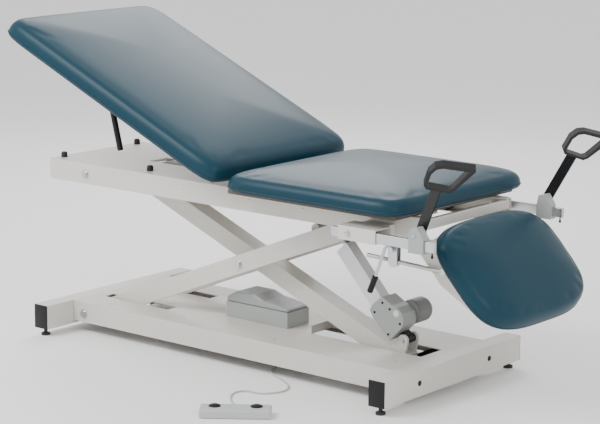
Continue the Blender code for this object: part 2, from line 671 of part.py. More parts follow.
def build_lock(lock_rod, lever, frame_leg):
    joint = frame_leg @ Vector((LOCK_ALONG, 0.0, LOCK_DROP))
    left = Vector((0.519, -0.185, FRAME_PIVOT_Z - 0.1059))
    start = Vector((joint.x, -0.185, joint.z))
    bar = rod("leg_lock_rod", left, start, 0.006, lock_rod, "zinc", sides=16)
    join(bar, rod("lock_eye", (start.x, -0.1905, start.z), (start.x, -0.1795, start.z), 0.010,
                  lock_rod, "zinc", sides=16))
    z = FRAME_PIVOT_Z
    hub = rod("lock_lever", (0.618, -0.2080, z - 0.0735), (0.618, -0.1952, z - 0.0735), 0.008,
              lever, "zinc", sides=16)
    bend = [(0.618, -0.203, z - 0.0735), (0.612, -0.203, z - 0.0640), (0.602, -0.203, z - 0.0640),
            (0.594, -0.203, z - 0.0750), (0.588, -0.203, z - 0.0927), (0.563, -0.203, z - 0.1597)]
    join(hub, wire("lock_lever_bend", bend, 0.005, lever, "zinc"))
    rod("lock_lever_grip", (0.5629, -0.203, z - 0.1601), (0.542, -0.203, z - 0.2109), 0.009, lever,
        "black_plastic", sides=16, bevel=0.002)


def build_actuator(housing, piston, frame_b):
    pin = frame_b @ Vector((CLEVIS_ALONG, 0.0, CLEVIS_RISE))
    along = actuator_direction()
    lean = math.degrees(math.atan2(along.z, -along.x))
    frame = tilted(pin.x, pin.z, lean)
    shape = [(-0.135, -0.032), (-0.105, -0.036), (-0.023, -0.029), (-0.027, 0.029), (-0.030, 0.041),
             (-0.040, 0.054), (-0.059, 0.0635), (-0.083, 0.0600), (-0.100, 0.049), (-0.1395, 0.036),
             (-0.1417, 0.024), (-0.1417, -0.014)]
    gear = plate("actuator_gearbox", [shape], -0.045, 0.0215, housing, "gear_grey", frame)
    column = block("actuator_column", (-0.348, -0.024, -0.034), (-0.142, 0.018, 0.016), housing,
                   "column_white", frame)
    for piece in (gear, column):
        cut(piece, rod("rod_bore", (-0.104, 0, 0), (-0.5, 0, 0), 0.0130, housing, "gear_grey",
                       frame, 16))
    smooth(round_edges(rod("actuator_motor", (-0.065, 0.0218, 0.040), (-0.065, 0.096, 0.040), 0.038,
                           housing, "motor_grey", frame, 24), 0.010, 2))
    mount = rod("actuator_rear_mount", (0, -0.0215, 0), (0, 0.0215, 0), 0.013, housing,
                "black_plastic", frame, 16)
    join(mount, block("mount_neck", (-0.0226, -0.016, -0.010), (0.0, 0.016, 0.010), housing,
                      "black_plastic", frame))
    drill(mount, 0.0, 0.0, 0.0064, 0.03, housing, frame, 0.0, 16)
    stem = rod("actuator_rod", (-0.170, 0, 0), (-ACTUATOR_LENGTH + 0.010, 0, 0), 0.0122, piston,
               "zinc", frame, 16)
    join(stem, rod("rod_head", (-ACTUATOR_LENGTH, -0.0195, 0), (-ACTUATOR_LENGTH, 0.0195, 0), 0.017,
                   piston, "zinc", frame, 16))


def stirrup_frame(sign):
    """The stirrup shaft's frame: +Z up the shaft, +X to the foot, +Y across."""
    lean, y = (-0.281, -0.2978) if sign < 0 else (0.03, 0.3530)
    up = Vector((0.571, lean, 1.0)).normalized()
    forward = Vector((0, 1, 0)).cross(up).normalized()
    across_shaft = up.cross(forward)
    foot = Vector((STIRRUP_PIVOT_X, y, FRAME_PIVOT_Z + 0.0115))
    turn = Matrix((forward, across_shaft, up)).transposed().to_4x4()
    return Matrix.Translation(foot) @ turn


def build_stirrup(side, sign, slide, swing, ring_axis, ring_turn):
    thick, tall = STIRRUP_BAR
    outer = SOCKET_OUTER_Y - SHEET - 2 * GAP
    y_low, y_high = span(sign, outer - thick, outer)
    low = SOCKET_LOW + SHEET + 2 * GAP
    block(f"stirrup_bar_{side}", (0.500, y_low, low), (0.862, y_high, low + tall), slide, "zinc",
          bevel=0.001)
    peak = low + tall + 0.038
    shape = [(0.778, low - 0.008), (0.828, low - 0.008), (0.828, low + tall + 0.006),
             (0.806, peak), (0.784, peak - 0.006), (0.778, low + tall)]
    y_low, y_high = span(sign, outer - thick - 0.012, outer + 0.006)
    clamp = plate(f"stirrup_bracket_{side}", [shape], y_low, y_high, slide, "gear_grey")
    y_low, y_high = span(sign, outer - thick - GAP, outer + GAP)
    cut(clamp, block("clamp_bore", (0.7, y_low, low - GAP), (0.9, y_high, low + tall + GAP), slide,
                     "gear_grey"))
    frame = stirrup_frame(sign)
    neck = 0.172
    shaft = block(f"stirrup_shaft_{side}", (-0.016, -0.003, -0.040), (0.016, 0.003, neck), swing,
                  "dark_steel", frame, 0.001)
    smooth(shaft)
    turn = Matrix.Rotation(math.radians(ring_turn), 4, "Z")
    ring_frame = frame @ Matrix.Translation((0, 0, neck + GAP)) @ turn
    outer_line = [(-0.030, 0.0), (0.034, 0.0), (0.045, 0.010), (0.084, 0.092), (0.082, 0.100),
                  (-0.008, 0.092), (-0.028, 0.082), (-0.040, 0.058), (-0.040, 0.010)]
    inner_line = [(-0.025, 0.008), (0.030, 0.008), (0.038, 0.015), (0.068, 0.088), (-0.006, 0.082),
                  (-0.021, 0.074), (-0.031, 0.054), (-0.031, 0.014)]
    plate(f"stirrup_ring_{side}", [outer_line, inner_line], -0.0125, 0.0125, ring_axis,
          "dark_steel", ring_frame)
    return ring_frame


def switch_frame():
    return (Matrix.Translation((SWITCH_X, SWITCH_Y, 0.0))
            @ Matrix.Rotation(math.radians(SWITCH_YAW), 4, "Z"))


def build_foot_switch(pedals):
    frame = switch_frame()
    length, depth, height = SWITCH_SIZE
    body = block("foot_switch_housing", (-length / 2, -depth / 2, 0.0),
                 (length / 2, depth / 2, height), TABLE, "switch_grey", frame, 0.004)
    for index, name in enumerate(("pedal_up", "pedal_down")):
        x = PEDAL_SPREAD * (-1 if index == 0 else 1)
        cut(body, rod("pedal_well", (x, 0.010, height - 0.010), (x, 0.010, height + 0.01),
                      PEDAL_RADIUS + RUNNING_GAP, TABLE, "switch_grey", frame, 20))
        floor = height - 0.010 + 0.0045
        crown = height + 0.007
        profile = [(0, crown), (PEDAL_RADIUS * 0.55, crown - 0.0012), (PEDAL_RADIUS * 0.9, crown - 0.004),
                   (PEDAL_RADIUS, height), (PEDAL_RADIUS, floor), (0, floor)]
        smooth(turned(name, profile, pedals[index], "black_plastic",
                      frame @ Matrix.Translation((x, 0.010, 0.0)), 20))


def cord_route():
    """The floor cord's own points, from under the deck to the foot switch."""
    z = CORD_RADIUS + 0.0005
    rear = switch_frame() @ Vector((0.0, SWITCH_SIZE[1] / 2 + GAP, 0.010))
    lead = switch_frame() @ Vector((0.0, SWITCH_SIZE[1] / 2 + 0.018, 0.0085))
    return [
        (0.0900, -0.0300, 0.0934), (0.0900, -0.0300, 0.0780), (0.0905, -0.0315, 0.0500),
        (0.0920, -0.0380, 0.0220), (0.0970, -0.0560, 0.0060), (0.1080, -0.0820, z),
        (0.1290, -0.1160, z), (0.1460, -0.1500, z), (0.1580, -0.1860, z), (0.1907, -0.2180, z),
        (0.2600, -0.2520, z), (0.3109, -0.2900, z), (0.3290, -0.3330, z), (0.3160, -0.3760, z),
        (0.2900, -0.4010, z), (0.2600, -0.4040, z), (0.2370, -0.4130, z), (0.2300, -0.4400, z),
        (0.2440, -0.4760, z), (0.2780, -0.5130, z), (0.3160, -0.5400, z),
        tuple(lead), tuple(rear),
    ]


def smooth_route(points, steps):
    """Points on a smooth curve through the route's own points."""
    ends = [Vector(p) for p in points]
    ends = [2 * ends[0] - ends[1]] + ends + [2 * ends[-1] - ends[-2]]
    found = []
    for i in range(1, len(ends) - 2):
        before, a, b, after = ends[i - 1:i + 3]
        count = max(1, round((b - a).length / (steps * CORD_RADIUS)))
        for k in range(count):
            t = k / count
            found.append(0.5 * (2 * a + (b - before) * t + (2 * before - 5 * a + 4 * b - after) * t ** 2
                                + (3 * a - before - 3 * b + after) * t ** 3))
    found.append(ends[-2])
    return found


GAS_STUD_Z = FRAME_PIVOT_Z - 0.0055
CRANK = tilted(BACK_HINGE_X, BACK_HINGE_Z, BACK_ANGLE) @ Vector((0.0578, 0.0, -0.0689))
CRANK_X = CRANK.x
CRANK_Z = CRANK.z
LEVER_X = -0.4505
LEVER_Z = BACK_HINGE_Z + 0.1600
LOCK_ALONG = 0.1574
LOCK_DROP = -0.023


def main():
    global TABLE, PARTS, CUTTERS
    clear_scene()
    PARTS = bpy.data.collections.new("exam_table")
    CUTTERS = bpy.data.collections.new("cutters")
    for collection in (PARTS, CUTTERS):
        bpy.context.scene.collection.children.link(collection)
    TABLE = bpy.data.objects.new("table_origin", None)
    PARTS.objects.link(TABLE)
    frame_b = tilted(CENTRE_X, CENTRE_Z, LIFT_ANGLE)
    frame_leg = tilted(LEG_HINGE_X, LEG_HINGE_Z, LEG_ANGLE)
    pin = frame_b @ Vector((CLEVIS_ALONG, 0.0, CLEVIS_RISE))
    arm_a = axis("arm_a_axis", TABLE, PIVOT_X, BASE_PIVOT_Z)
    arm_b = axis("arm_b_axis", arm_a, CENTRE_X, CENTRE_Z)
    top = axis("top_frame_axis", arm_b, PIVOT_X, FRAME_PIVOT_Z)
    wheels_a = axis("wheels_a_axis", arm_a, ROLLER_X, FRAME_PIVOT_Z)
    wheels_b = axis("wheels_b_axis", arm_b, ROLLER_X, BASE_PIVOT_Z)
    housing = axis("actuator_axis", arm_b, pin.x, pin.z)
    piston = axis("actuator_rod_axis", housing, pin.x, pin.z)
    back = axis("backrest_axis", top, BACK_HINGE_X, BACK_HINGE_Z)
    release = axis("release_lever_axis", back, LEVER_X, LEVER_Z, -0.25)
    cylinder = axis("gas_spring_axis", top, 0.335, GAS_STUD_Z)
    gas_rod = axis("gas_rod_axis", cylinder, 0.335, GAS_STUD_Z)
    leg = axis("leg_rest_axis", top, LEG_HINGE_X, LEG_HINGE_Z)
    joint = frame_leg @ Vector((LOCK_ALONG, 0.0, LOCK_DROP))
    lock_rod = axis("lock_rod_axis", leg, joint.x, joint.z, -0.185)
    lock_lever = axis("lock_lever_axis", top, 0.618, FRAME_PIVOT_Z - 0.0735, -0.2)
    frame = switch_frame()
    pedals = []
    for name, sign in (("pedal_up_axis", -1), ("pedal_down_axis", 1)):
        spot = frame @ Vector((sign * PEDAL_SPREAD, 0.010, 0.0))
        pedals.append(axis(name, TABLE, spot.x, 0.0, spot.y))

    build_base()
    build_control_box()
    build_arms(arm_a, arm_b)
    build_wheels("wheels_a", ROLLER_X, FRAME_PIVOT_Z, FRAME_HALF_WIDTH - SHEET - 0.0022, wheels_a)
    build_wheels("wheels_b", ROLLER_X, BASE_PIVOT_Z, DECK_HALF_WIDTH - SHEET - 0.0022, wheels_b)
    build_frame(top)
    build_backrest(back)
    build_release_lever(release)
    build_gas_spring(cylinder, gas_rod)
    build_leg_rest(leg)
    build_lock(lock_rod, lock_lever, frame_leg)
    build_actuator(housing, piston, frame_b)
    for side, sign in sides():
        foot = stirrup_frame(sign) @ Vector((0, 0, 0))
        slide = axis(f"stirrup_slide_{side}", top, 0.5, FRAME_PIVOT_Z, sign * 0.33)
        swing = axis(f"stirrup_swing_{side}", slide, foot.x, foot.z, foot.y)
        ring = axis(f"stirrup_ring_axis_{side}", swing, foot.x, foot.z, foot.y)
        build_stirrup(side, sign, slide, swing, ring, 45 if side == "near" else 50)
    build_foot_switch(pedals)
    wire("foot_switch_cord", smooth_route(cord_route(), CORD_STEPS), CORD_RADIUS, TABLE, "switch_grey")
    TABLE.location = (BASE_SHIFT_X, BASE_SHIFT_Y, 0.0)


main()
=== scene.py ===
"""Looks of a powered medical exam table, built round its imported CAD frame.

The frame supplies every steel and plastic part at its true size. This file adds the camera, the
studio, procedural finishes, upholstered cushions, the floor cord and small trim.
"""

from __future__ import annotations

import json
import logging
import math
from dataclasses import dataclass
from enum import Enum

import bmesh
import bpy
import numpy as np
from mathutils import Matrix, Vector

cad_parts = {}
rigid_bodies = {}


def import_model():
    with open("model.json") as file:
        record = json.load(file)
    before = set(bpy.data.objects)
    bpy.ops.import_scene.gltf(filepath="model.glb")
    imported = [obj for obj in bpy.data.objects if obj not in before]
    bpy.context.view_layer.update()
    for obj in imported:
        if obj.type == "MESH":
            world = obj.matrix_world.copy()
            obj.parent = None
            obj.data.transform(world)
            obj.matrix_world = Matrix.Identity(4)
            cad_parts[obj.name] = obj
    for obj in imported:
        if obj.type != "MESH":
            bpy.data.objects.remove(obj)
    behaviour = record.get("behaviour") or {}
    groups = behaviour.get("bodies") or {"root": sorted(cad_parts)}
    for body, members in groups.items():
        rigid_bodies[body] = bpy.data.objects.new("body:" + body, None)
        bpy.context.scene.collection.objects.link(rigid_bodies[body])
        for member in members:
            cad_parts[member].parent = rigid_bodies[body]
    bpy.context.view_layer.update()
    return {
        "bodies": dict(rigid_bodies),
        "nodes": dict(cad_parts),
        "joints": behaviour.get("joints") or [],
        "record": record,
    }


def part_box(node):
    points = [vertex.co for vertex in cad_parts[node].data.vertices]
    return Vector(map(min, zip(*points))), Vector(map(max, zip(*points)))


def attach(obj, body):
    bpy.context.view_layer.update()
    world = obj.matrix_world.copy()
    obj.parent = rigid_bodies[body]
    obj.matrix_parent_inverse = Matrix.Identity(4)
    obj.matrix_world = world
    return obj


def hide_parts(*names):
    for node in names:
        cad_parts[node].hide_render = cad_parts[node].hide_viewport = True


LOG = logging.getLogger("exam_table")
Profile = list[tuple[float, float]]

SENSOR_WIDTH = 36.0  # Millimetres.
LAMP_AIM = (0, 0, 0.4)  # The point that every lamp faces.
SHARP_ANGLE = 40  # Degrees; a steeper edge stays crisp.
MERGE_DISTANCE = 0.00002
CORD_SPACING = 0.006
DRIFT_SCALE = 9.0  # Repeats per metre of the slow colour drift.
DRIFT_RANGE = (0.94, 1.06)
GRAIN_STRETCH = (0.06, 1.0, 1.0)
EDGE_RADIUS = 0.0012

# Heights and insets of a cushion's cover, from its bottom and its outline.
OUTLINE_POINTS = 120
SEAM_POINTS = 160
BOTTOM_RADIUS = 0.010
SIDE_START = 0.016
SHOULDER = 0.026
CENTRE_SHARE = 0.999  # Stops the rings just short of the middle.
HELD_HEIGHT = 0.014
SEAM_HEIGHT = 0.013
SEAM_INSET = 0.0002
SEAM_RADIUS = 0.0011

# The stuffing's push on the cover.
CLOTH_FRAMES = 20
CLOTH_MASS = 0.4
CLOTH_STRETCH = 30
CLOTH_SHEAR = 15
CLOTH_BENDING = 4
CLOTH_PRESSURE = 4
PUSH_SHARE = (0.5, 0.5, 1.0)
RELAX_STEPS = 8

# Trim.
SINK = 0.0005  # How far turned trim reaches into the face that it stands on.
SCREW_FACETS = 24
CAP_DEPTH = 0.0030
CAP_OFFSET = 0.0012
PLATE_ABOVE_BAR = 0.0192  # From the middle of the foot cross bar to the frame's top plate.
DRIVE_LEAN = math.degrees(math.atan2(0.73790, 0.67490))


class Texture(Enum):
    """How a finish breaks up light at small scale."""

    COATED = "coated"
    MOULDED = "moulded"
    BRUSHED = "brushed"
    UPHOLSTERED = "upholstered"
    BOARD = "board"


@dataclass(frozen=True)
class Finish:
    """One surface finish.

    Args:
        colour: Linear base colour.
        roughness: Middle of the roughness range.
        metallic: 1 for bare metal.
        texture: The small-scale pattern.
        grain: Pattern size, in repeats per metre.
        relief: Bump height, in metres.
        coat: Clear coat weight.
        shine: Specular level.
    """

    colour: tuple[float, float, float]
    roughness: float
    metallic: float = 0.0
    texture: Texture = Texture.COATED
    grain: float = 700.0
    relief: float = 0.00004
    coat: float = 0.0
    shine: float = 0.5


FINISHES: dict[str, Finish] = {
    "powder_coat": Finish((0.62, 0.595, 0.55), 0.38, coat=0.12),
    "deck_coat": Finish((0.58, 0.55, 0.51), 0.42, coat=0.08),
    "black_plastic": Finish((0.005, 0.005, 0.006), 0.42, texture=Texture.MOULDED, shine=0.3),
    "rubber": Finish((0.018, 0.018, 0.018), 0.75, texture=Texture.MOULDED, relief=0.00008),
    "zinc": Finish((0.56, 0.57, 0.59), 0.28, 1.0, Texture.BRUSHED, 500.0, 0.00001),
    "dark_steel": Finish((0.004, 0.004, 0.005), 0.34, 0.0, coat=0.1, shine=0.3),
    "vinyl": Finish((0.008, 0.038, 0.058), 0.36, texture=Texture.UPHOLSTERED, grain=900.0,
                    relief=0.00004, shine=0.14),
    "plywood": Finish((0.10, 0.075, 0.055), 0.65, texture=Texture.BOARD, grain=60.0),
    "motor_grey": Finish((0.17, 0.18, 0.175), 0.48, texture=Texture.MOULDED),
    "gear_grey": Finish((0.33, 0.35, 0.34), 0.42, texture=Texture.MOULDED),
    "box_grey": Finish((0.30, 0.32, 0.32), 0.45, texture=Texture.MOULDED),
    "column_white": Finish((0.70, 0.70, 0.72), 0.30, 0.3, coat=0.2),
    "switch_grey": Finish((0.44, 0.47, 0.45), 0.45, texture=Texture.MOULDED),
    "seam": Finish((0.006, 0.026, 0.040), 0.5, texture=Texture.UPHOLSTERED, grain=900.0),
}


class FinishLibrary:
    """Makes each material once, from shared node groups."""

    def __init__(self) -> None:
        self._relief = self._relief_group()
        self._tint = self._tint_group()
        self._made: dict[str, bpy.types.Material] = {}

    def get(self, name: str) -> bpy.types.Material:
        """Returns the material of a finish.

        Args:
            name: A key of FINISHES.

        Returns:
            The procedural material.
        """
        if name not in self._made:
            self._made[name] = self._build(name, FINISHES[name])
        return self._made[name]

    @staticmethod
    def _group(name: str, inputs: dict[str, str], output: tuple[str, str]) -> bpy.types.NodeTree:
        tree = bpy.data.node_groups.new(name, "ShaderNodeTree")
        for label, kind in inputs.items():
            tree.interface.new_socket(label, in_out="INPUT", socket_type=kind)
        tree.interface.new_socket(output[0], in_out="OUTPUT", socket_type=output[1])
        return tree

    def _relief_group(self) -> bpy.types.NodeTree:
        """A normal with fine relief on softly rounded edges."""
        tree = self._group(
            "Fine relief",
            {"Vector": "NodeSocketVector", "Scale": "NodeSocketFloat", "Depth": "NodeSocketFloat",
             "Cells": "NodeSocketFloat"},
            ("Normal", "NodeSocketVector"),
        )
        nodes, links = tree.nodes, tree.links
        source = nodes.new("NodeGroupInput")
        noise = nodes.new("ShaderNodeTexNoise")
        noise.inputs["Detail"].default_value = 3.0
        cells = nodes.new("ShaderNodeTexVoronoi")
        mix = nodes.new("ShaderNodeMix")
        edge = nodes.new("ShaderNodeBevel")
        edge.samples = 4
        edge.inputs["Radius"].default_value = EDGE_RADIUS
        bump = nodes.new("ShaderNodeBump")
        bump.inputs["Strength"].default_value = 0.6
        target = nodes.new("NodeGroupOutput")
        for texture in (noise, cells):
            links.new(source.outputs["Vector"], texture.inputs["Vector"])
            links.new(source.outputs["Scale"], texture.inputs["Scale"])
        links.new(source.outputs["Cells"], mix.inputs["Factor"])
        links.new(noise.outputs["Fac"], mix.inputs["A"])
        links.new(cells.outputs["Distance"], mix.inputs["B"])
        links.new(mix.outputs["Result"], bump.inputs["Height"])
        links.new(source.outputs["Depth"], bump.inputs["Distance"])
        links.new(edge.outputs["Normal"], bump.inputs["Normal"])
        links.new(bump.outputs["Normal"], target.inputs["Normal"])
        return tree

    def _tint_group(self) -> bpy.types.NodeTree:
        """A value near one that drifts slowly over the surface."""
        tree = self._group(
            "Slow drift", {"Vector": "NodeSocketVector", "Scale": "NodeSocketFloat"},
            ("Value", "NodeSocketFloat"),
        )
        nodes, links = tree.nodes, tree.links
        source = nodes.new("NodeGroupInput")
        noise = nodes.new("ShaderNodeTexNoise")
        noise.inputs["Detail"].default_value = 4.0
        spread = nodes.new("ShaderNodeMapRange")
        spread.inputs["To Min"].default_value = DRIFT_RANGE[0]
        spread.inputs["To Max"].default_value = DRIFT_RANGE[1]
        target = nodes.new("NodeGroupOutput")
        links.new(source.outputs["Vector"], noise.inputs["Vector"])
        links.new(source.outputs["Scale"], noise.inputs["Scale"])
        links.new(noise.outputs["Fac"], spread.inputs["Value"])
        links.new(spread.outputs["Result"], target.inputs["Value"])
        return tree

    def _build(self, name: str, finish: Finish) -> bpy.types.Material:
        material = bpy.data.materials.new("look_" + name)
        material.use_nodes = True
        nodes, links = material.node_tree.nodes, material.node_tree.links
        shader = nodes["Principled BSDF"]
        shader.inputs["Metallic"].default_value = finish.metallic
        shader.inputs["Coat Weight"].default_value = finish.coat
        shader.inputs["Specular IOR Level"].default_value = finish.shine
        shader.inputs["Coat Roughness"].default_value = 0.15
        place = nodes.new("ShaderNodeTexCoord")
        stretch = nodes.new("ShaderNodeMapping")
        if finish.texture in (Texture.BRUSHED, Texture.BOARD):
            stretch.inputs["Scale"].default_value = GRAIN_STRETCH
        links.new(place.outputs["Object"], stretch.inputs["Vector"])
        relief = nodes.new("ShaderNodeGroup")
        relief.node_tree = self._relief
        relief.inputs["Scale"].default_value = finish.grain
        relief.inputs["Depth"].default_value = finish.relief
        relief.inputs["Cells"].default_value = float(finish.texture is Texture.UPHOLSTERED)
        links.new(stretch.outputs["Vector"], relief.inputs["Vector"])
        links.new(relief.outputs["Normal"], shader.inputs["Normal"])
        drift = nodes.new("ShaderNodeGroup")
        drift.node_tree = self._tint
        drift.inputs["Scale"].default_value = DRIFT_SCALE
        links.new(stretch.outputs["Vector"], drift.inputs["Vector"])
        tint = nodes.new("ShaderNodeVectorMath")
        tint.operation = "SCALE"
        tint.inputs["Vector"].default_value = finish.colour
        links.new(drift.outputs["Value"], tint.inputs["Scale"])
        links.new(tint.outputs["Vector"], shader.inputs["Base Color"])
        rough = nodes.new("ShaderNodeMath")
        rough.operation = "MULTIPLY"
        rough.inputs[1].default_value = finish.roughness
        links.new(drift.outputs["Value"], rough.inputs[0])
        links.new(rough.outputs["Value"], shader.inputs["Roughness"])
        return material


def node_middle(node: str) -> Vector:
    """Returns the middle of a CAD node's box, in the row frame."""
    low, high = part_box(node)
    return (Vector(low) + Vector(high)) / 2


def base_middle() -> Vector:
    """Returns the point on the floor under the middle of the base."""
    middle = (node_middle("base_beam_head") + node_middle("base_beam_foot")) / 2
    return Vector((middle.x, middle.y, 0.0))


def tilt(middle: Vector, degrees: float) -> Matrix:
    """Returns a frame at a point whose +X dips by an angle."""
    return Matrix.Translation(middle) @ Matrix.Rotation(math.radians(degrees), 4, "Y")


def facing_point(eye: Vector, target: Vector) -> Matrix:
    """Returns a frame at a point whose -Z looks at another."""
    turn = (target - eye).to_track_quat("-Z", "Y").to_matrix().to_4x4()
    return Matrix.Translation(eye) @ turn


def along(axis: str) -> Matrix:
    """Returns the turn that takes +Z to an axis, such as "-Y"."""
    facing = {"+X": (1, 0, 0), "-X": (-1, 0, 0), "+Y": (0, 1, 0), "-Y": (0, -1, 0), "+Z": (0, 0, 1)}
    return Vector(facing[axis]).to_track_quat("Z", "Y").to_matrix().to_4x4()


def outer_face(node: str, side: str) -> tuple[float, str]:
    """Returns the Y of the outward side of a CAD node's box, and its facing."""
    low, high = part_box(node)
    return (low[1], "-Y") if side == "near" else (high[1], "+Y")


def add_object(name: str, data: bpy.types.ID) -> bpy.types.Object:
    """Links new data to the scene as one object and returns it."""
    added = bpy.data.objects.new(name, data)
    bpy.context.scene.collection.objects.link(added)
    return added


def link(name: str, mesh: bpy.types.Mesh, place: Matrix) -> bpy.types.Object:
    """Links a mesh as one smooth-shaded piece and returns it."""
    piece = add_object(name, mesh)
    piece.matrix_world = place
    mesh.shade_smooth()
    mesh.set_sharp_from_angle(angle=math.radians(SHARP_ANGLE))
    bpy.context.view_layer.update()
    return piece


def lathe(name: str, profile: Profile, place: Matrix, steps: int = 32) -> bpy.types.Object:
    """Builds a turned piece.

    Args:
        name: The piece's name.
        profile: (radius, height) pairs from the bottom's middle to the top's middle.
        place: Its frame; it turns about +Z.
        steps: Facets round it.

    Returns:
        The linked piece.
    """
    shape = bmesh.new()
    points = [shape.verts.new((radius, 0.0, height)) for radius, height in profile]
    edges = [shape.edges.new(pair) for pair in zip(points, points[1:])]
    bmesh.ops.spin(shape, geom=points + edges, cent=(0, 0, 0), axis=(0, 0, 1),
                   angle=2 * math.pi, steps=steps)
    bmesh.ops.remove_doubles(shape, verts=shape.verts, dist=MERGE_DISTANCE)
    bmesh.ops.recalc_face_normals(shape, faces=shape.faces)
    mesh = bpy.data.meshes.new(name)
    shape.to_mesh(mesh)
    shape.free()
    return link(name, mesh, place)


def soft_block(name: str, size: Vector, place: Matrix, radius: float) -> bpy.types.Object:
    """Builds a box with rounded edges, centred on its frame, and returns it."""
    shape = bmesh.new()
    bmesh.ops.create_cube(shape, size=1.0)
    bmesh.ops.scale(shape, vec=size, verts=shape.verts)
    bmesh.ops.bevel(shape, geom=shape.edges, offset=radius, segments=3, profile=0.5,
                    affect="EDGES")
    mesh = bpy.data.meshes.new(name)
    shape.to_mesh(mesh)
    shape.free()
    return link(name, mesh, place)


def smooth_line(points: list[tuple[float, float, float]], spacing: float) -> list[Vector]:
    """Returns evenly spread points on a smooth line through the given ones."""
    ends = [Vector(p) for p in points]
    ends = [2 * ends[0] - ends[1]] + ends + [2 * ends[-1] - ends[-2]]
    found: list[Vector] = []
    for before, a, b, after in zip(ends, ends[1:], ends[2:], ends[3:]):
        count = max(1, round((b - a).length / spacing))
        for step in range(count):
            t = step / count
            found.append(0.5 * (2 * a + (b - before) * t
                                + (2 * before - 5 * a + 4 * b - after) * t ** 2
                                + (3 * a - before - 3 * b + after) * t ** 3))
    return found + [ends[-2]]


def tube(name: str, points: list[Vector], radius: float, closed: bool = False) -> bpy.types.Object:
    """Builds a round tube along points, as a curve, and returns it."""
    curve = bpy.data.curves.new(name, "CURVE")
    curve.dimensions = "3D"
    curve.bevel_depth = radius
    curve.bevel_resolution = 3
    curve.use_fill_caps = True
    spline = curve.splines.new("POLY")
    spline.points.add(len(points) - 1)
    for point, spot in zip(spline.points, points):
        point.co = (*spot, 1.0)
    spline.use_cyclic_u = closed
    return add_object(name, curve)


@dataclass(frozen=True)
class CameraRig:
    """The photograph's viewpoint, measured from the middle of the base.

    Args:
        eye: Where the camera stands.
        target: The point it looks at.
        roll: Degrees it leans about its own line of sight.
        lens: Focal length, in millimetres.
        shift: Sideways lens shift, as a share of the picture's width.
    """

    eye: tuple[float, float, float] = (4.0994, -4.927, 1.7394)
    target: tuple[float, float, float] = (0.1214, 0.0, 0.4659)
    roll: float = 0.534
    lens: float = 124.85
    shift: float = -0.0033

    def build(self, origin: Vector) -> None:
        """Adds the camera and makes it the scene's own."""
        data = bpy.data.cameras.new("photo_camera")
        data.lens = self.lens
        data.sensor_width = SENSOR_WIDTH
        data.shift_x = self.shift
        camera = add_object("photo_camera", data)
        view = facing_point(Vector(self.eye) + origin, Vector(self.target) + origin)
        camera.matrix_world = view @ Matrix.Rotation(math.radians(self.roll), 4, "Z")
        bpy.context.scene.camera = camera


@dataclass(frozen=True)
class Lamp:
    """One soft area light: where it stands, its size and its power."""

    name: str
    place: tuple[float, float, float]
    size: float
    power: float


@dataclass(frozen=True)
class Studio:
    """A pale floor under soft white light."""

    floor_size: float = 60.0
    sky: float = 1.15
    lamps: tuple[Lamp, ...] = (
        Lamp("key_light", (-1.6, -2.6, 3.4), 2.0, 150.0),
        Lamp("far_light", (-2.2, 2.8, 3.0), 2.6, 75.0),
        Lamp("fill_light", (3.6, -1.2, 2.2), 2.2, 40.0),
    )

    def build(self) -> None:
        """Adds the floor, the sky and the lamps."""
        half = self.floor_size / 2
        mesh = bpy.data.meshes.new("studio_floor")
        corners = [(-half, -half, 0), (half, -half, 0), (half, half, 0), (-half, half, 0)]
        mesh.from_pydata(corners, [], [(0, 1, 2, 3)])
        floor = add_object("studio_floor", mesh)
        material = bpy.data.materials.new("studio_floor")
        material.use_nodes = True
        shader = material.node_tree.nodes["Principled BSDF"]
        shader.inputs["Base Color"].default_value = (0.90, 0.90, 0.90, 1.0)
        shader.inputs["Roughness"].default_value = 0.6
        mesh.materials.append(material)
        world = bpy.data.worlds.new("studio_sky")
        world.use_nodes = True
        sky = world.node_tree.nodes["Background"]
        sky.inputs["Color"].default_value = (1.0, 1.0, 1.0, 1.0)
        sky.inputs["Strength"].default_value = self.sky
        bpy.context.scene.world = world
        for lamp in self.lamps:
            self._light(lamp)

    @staticmethod
    def _light(lamp: Lamp) -> None:
        data = bpy.data.lights.new(lamp.name, "AREA")
        data.shape = "DISK"
        data.size = lamp.size
        data.energy = lamp.power
        light = add_object(lamp.name, data)
        light.matrix_world = facing_point(Vector(lamp.place), Vector(LAMP_AIM))


